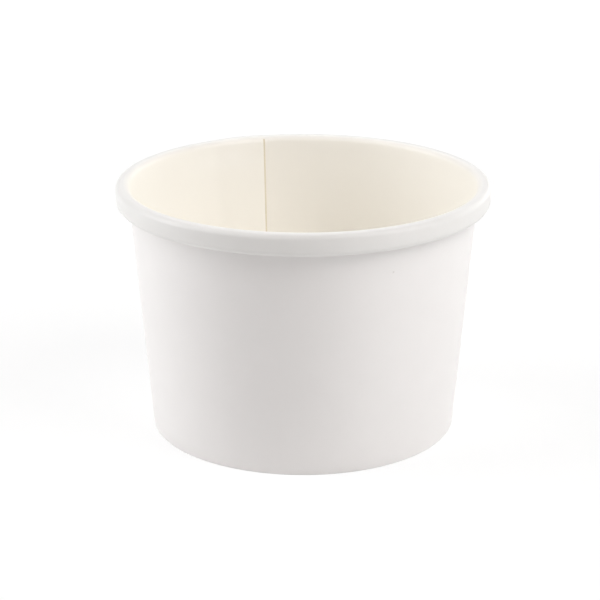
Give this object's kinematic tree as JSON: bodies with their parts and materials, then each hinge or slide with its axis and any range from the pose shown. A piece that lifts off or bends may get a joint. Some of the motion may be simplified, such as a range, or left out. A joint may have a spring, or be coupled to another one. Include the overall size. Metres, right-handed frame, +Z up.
{
  "type": "paper sundae cup",
  "caption": "Short tapered paper cup with a rolled rim, a lapped side seam and a recessed bottom, for a sundae or ice cream.",
  "frame": {"origin": "centre of the base, on the surface that the cup stands on", "axes": "+Z up along the cup's axis; -Y towards the camera of the picture"},
  "size_m": [0.09, 0.09, 0.061],
  "materials": {
    "wall_board": "smooth coated white board, slightly cream inside",
    "disc_board": "smooth coated off-white board"
  },
  "bodies": {
    "root": {"side_wall": "wall_board", "bottom_disc": "disc_board"}
  },
  "joints": []
}
